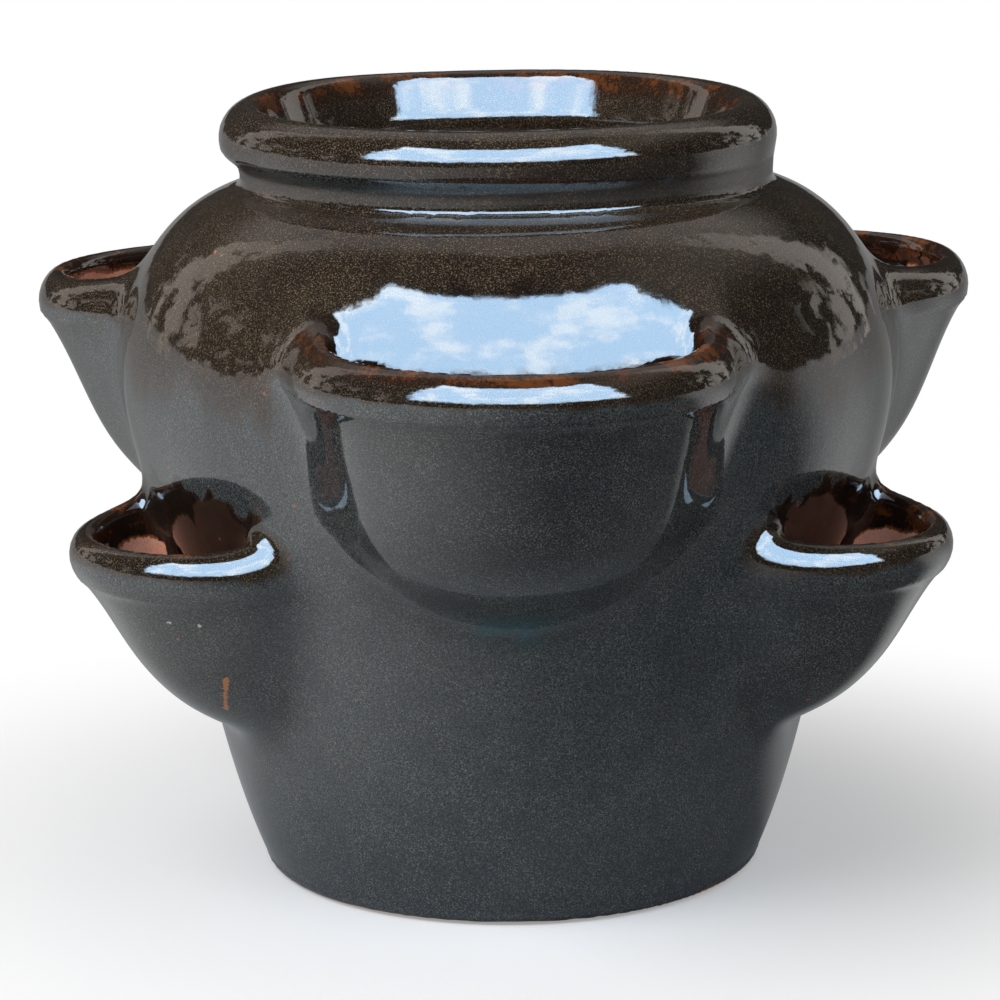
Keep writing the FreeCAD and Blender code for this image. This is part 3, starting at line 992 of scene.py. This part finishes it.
def floor_material():
    """Matt near the jar, fading to white for the camera and to the pale surroundings in the gloss."""
    material = bpy.data.materials.new("pale_floor")
    material.use_nodes = True
    n = Nodes(material.node_tree)
    where = n.add("ShaderNodeTexCoord").outputs["Object"]
    x, y = n.add("ShaderNodeSeparateXYZ", {0: where}).outputs[:2]
    path = n.add("ShaderNodeLightPath").outputs
    away = n.vector("LENGTH", where, output="Value")
    direct, glossy = seen_directly(n, path), path["Is Glossy Ray"]
    far = n.plus(n.times(direct, n.step(away, 0.14, 0.42, 0.30, 1.0)),
                 n.times(glossy, n.step(away, 0.06, 0.37)))
    matt = n.add("ShaderNodeBsdfDiffuse", {"Color": n.mix(direct, FLOOR_TONE, FLOOR_SEEN)}).outputs[0]
    strength = n.plus(direct, n.times(glossy, surroundings(n, x, y)))
    glow = n.add("ShaderNodeEmission", {"Color": (*WHITE, 1), "Strength": strength}).outputs[0]
    blend = n.add("ShaderNodeMixShader", {0: far, 1: matt, 2: glow}).outputs[0]
    n.add("ShaderNodeOutputMaterial", {0: blend})
    return material


def make_floor():
    mesh = bpy.data.meshes.new("floor")
    corners = [(x * FLOOR_HALF, y * FLOOR_HALF, 0) for x, y in ((-1, -1), (1, -1), (1, 1), (-1, 1))]
    mesh.from_pydata(corners, [], [(0, 1, 2, 3)])
    floor = bpy.data.objects.new("floor", mesh)
    floor.location.z = -FLOOR_DROP
    bpy.context.scene.collection.objects.link(floor)
    mesh.materials.append(floor_material())


def side_patches(n, toward, x, azimuth, elevation, across, above):
    """Pale patches low at both sides, and a strip behind them."""
    turned = n.plus(azimuth, n.step(x, -0.2, 0.2, 0.0, math.radians(-34)))
    sides = n.times(n.angle_step(turned, 64, 74), n.angle_step(azimuth, 150, 132),
                    n.angle_step(elevation, 28, 17), n.step(n.noise(toward, 7.0, 4.0, 0.6, 0.6), 0.56, 0.58))
    strip = n.times(n.angle_step(across, 118, 120), n.angle_step(across, 137, 134),
                    n.angle_step(above, 62, 50))
    strip = n.times(strip, n.step(n.noise(toward, 9.0, 4.0, 0.6), 0.42, 0.46))
    return n.math("MAXIMUM", sides, strip)


def window_view(n, toward, above):
    """What the window shows: a cool sky with clouds, over trees."""
    cloud = n.step(n.noise(toward, 3.5, 4.0, 0.6), 0.45, 0.62)
    trees = n.times(n.angle_step(above, *TREE_TOPS), n.step(n.noise(toward, 13.0, 4.0, 0.65), 0.47, 0.56))
    return n.mix(trees, n.mix(cloud, WINDOW_COLOUR, CLOUD_COLOUR), TREE_COLOUR)


def make_world():
    """White for the camera, an even soft sky for matt surfaces, and a room with a window for the gloss."""
    world = bpy.data.worlds.new("studio")
    bpy.context.scene.world = world
    world.use_nodes = True
    n = Nodes(world.node_tree)
    toward = n.add("ShaderNodeTexCoord").outputs["Generated"]
    x, y, z = n.add("ShaderNodeSeparateXYZ", {0: toward}).outputs
    azimuth = n.math("ABSOLUTE", n.math("ARCTAN2", x, n.times(y, -1.0)))
    elevation = n.math("ARCSINE", z)
    ragged = n.times(n.math("SUBTRACT", n.noise(toward, 8.0, 5.0, 0.65), 0.5), math.radians(16))
    across, above = n.plus(azimuth, ragged), n.plus(elevation, n.times(ragged, 0.6))

    pale = n.mix(surroundings(n, x, y), BLACK, WHITE)
    skyline = n.plus(elevation, n.times(ragged, 0.5))
    glossy = n.mix(n.angle_step(skyline, 2.0, 3.0), pale, SKYLINE_COLOUR)
    rear = n.times(n.angle_step(azimuth, 100, 140), n.angle_step(elevation, 25, 45))
    glossy = n.mix(rear, glossy, REAR_COLOUR)
    veil = n.times(n.step(x, 0.15, 0.60), n.times(n.angle_step(elevation, 30, 52), 0.6))
    glossy = n.mix(veil, glossy, VEIL_COLOUR)
    sides = side_patches(n, toward, x, azimuth, elevation, across, above)
    glossy = n.mix(sides, glossy, n.mix(n.step(x, -0.3, 0.3), LEFT_PATCHES, RIGHT_PATCHES))
    window = n.times(n.angle_step(across, *WINDOW_SIDES), n.angle_step(above, *WINDOW_FOOT),
                     n.angle_step(above, *WINDOW_HEAD))
    glossy = n.mix(window, glossy, window_view(n, toward, above))

    path = n.add("ShaderNodeLightPath").outputs
    plain = n.mix(seen_directly(n, path), (SOFT_SKY,) * 3, WHITE)
    colour = n.mix(path["Is Glossy Ray"], plain, glossy)
    background = n.add("ShaderNodeBackground", {0: colour, 1: 1.0}).outputs[0]
    n.add("ShaderNodeOutputWorld", {0: background})


LAMP_AIM = (0, 0, 0.15)


def lamp(name, azimuth, elevation, distance, size, watts):
    """A square lamp at a place given in degrees round the jar and above it, unseen in the gloss."""
    a, e = math.radians(azimuth), math.radians(elevation)
    data = bpy.data.lights.new(name, "AREA")
    data.shape, data.size, data.size_y = "RECTANGLE", size, size
    data.energy, data.color = watts, (1, 1, 1)
    light = bpy.data.objects.new(name, data)
    light.location = (distance * math.sin(a) * math.cos(e), -distance * math.cos(a) * math.cos(e),
                      0.2 + distance * math.sin(e))
    light.rotation_euler = (Vector(LAMP_AIM) - light.location).to_track_quat("-Z", "Y").to_euler()
    light.visible_glossy = False
    bpy.context.scene.collection.objects.link(light)


make_floor()
make_world()
lamp("key", -52, 44, 1.5, 1.0, 19)
lamp("fill", 60, 50, 2.2, 1.6, 7)

bpy.context.scene.view_settings.view_transform = "Standard"
